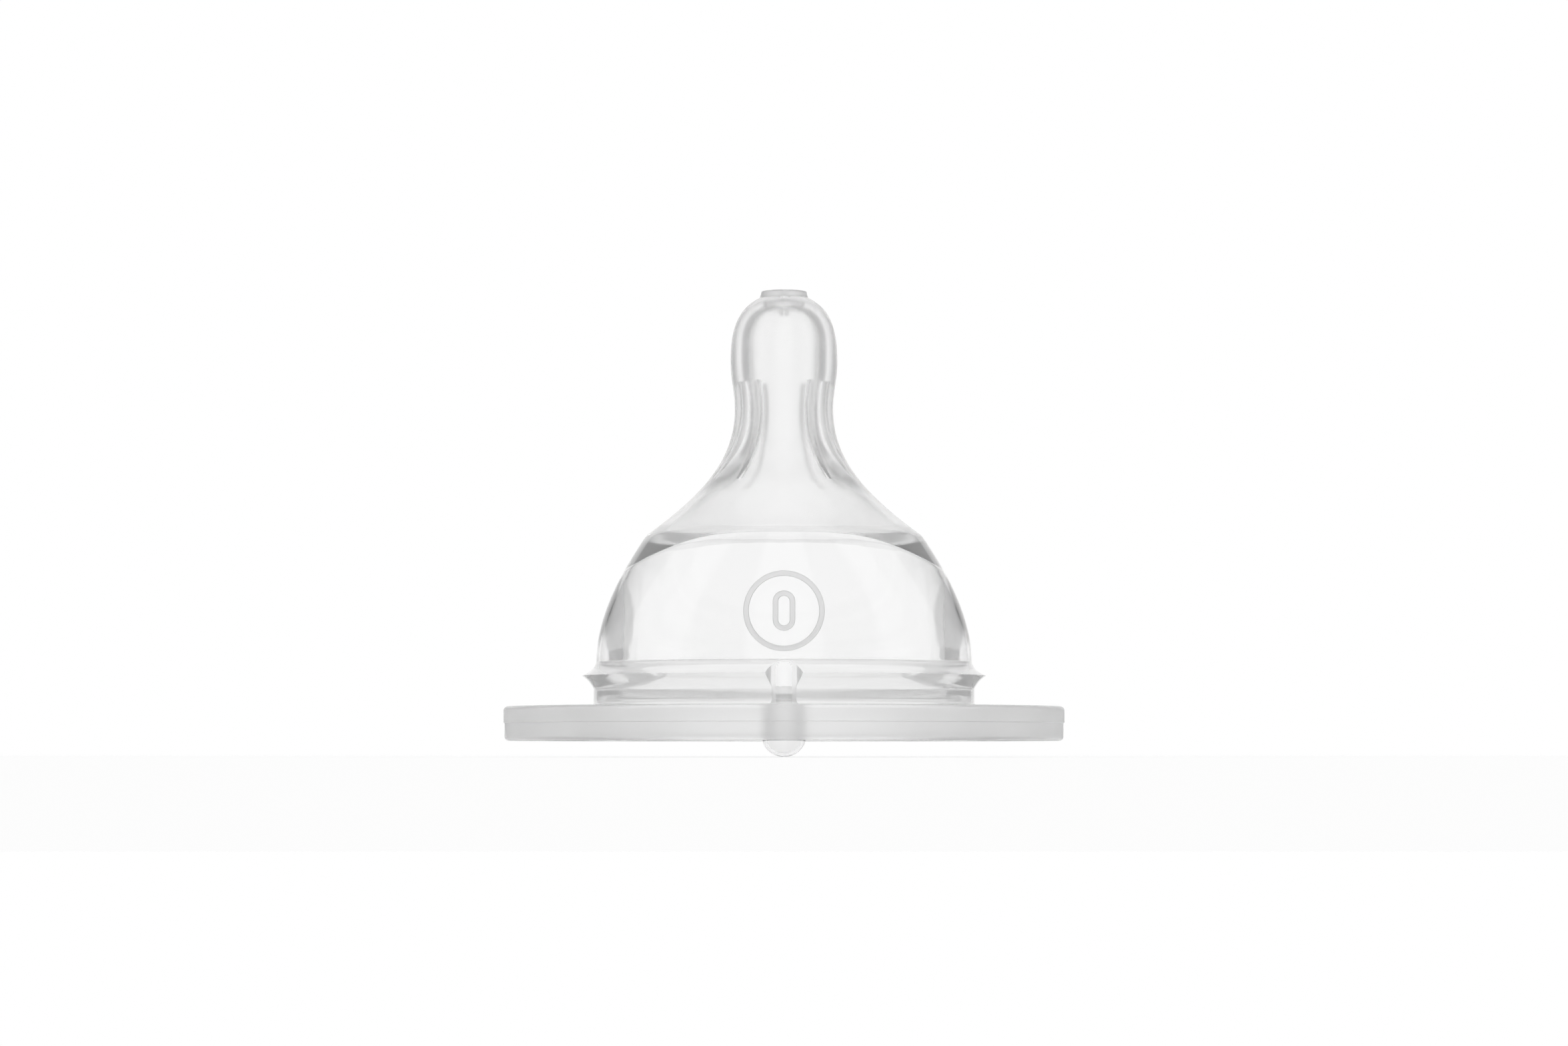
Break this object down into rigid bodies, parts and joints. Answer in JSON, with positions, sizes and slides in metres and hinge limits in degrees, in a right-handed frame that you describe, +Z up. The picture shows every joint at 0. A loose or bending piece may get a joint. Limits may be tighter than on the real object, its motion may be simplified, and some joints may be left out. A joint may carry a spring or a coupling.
{
  "type": "silicone bottle teat",
  "caption": "Wide-neck silicone teat for a feeding bottle: frosted nipple, clear dome with a snap-in neck, flat sealing flange and an air vent with a slit valve.",
  "frame": {"origin": "on the teat's axis, level with the lowest point of the vent valve, 1.85 mm below the flange's underside", "axes": "+Z up along the teat's axis to its tip, -Y towards the air vent and the flow mark, +X to the right seen from the vent"},
  "size_m": [0.064, 0.064, 0.0534],
  "materials": {
    "frosted_silicone": "fine matt frosting on translucent silicone",
    "clear_silicone": "clear and glossy",
    "flange_silicone": "matt frosting on translucent silicone"
  },
  "bodies": {
    "root": {"nipple": "frosted_silicone", "dome": "clear_silicone", "flange": "flange_silicone", "vent_valve": "clear_silicone"}
  },
  "joints": []
}
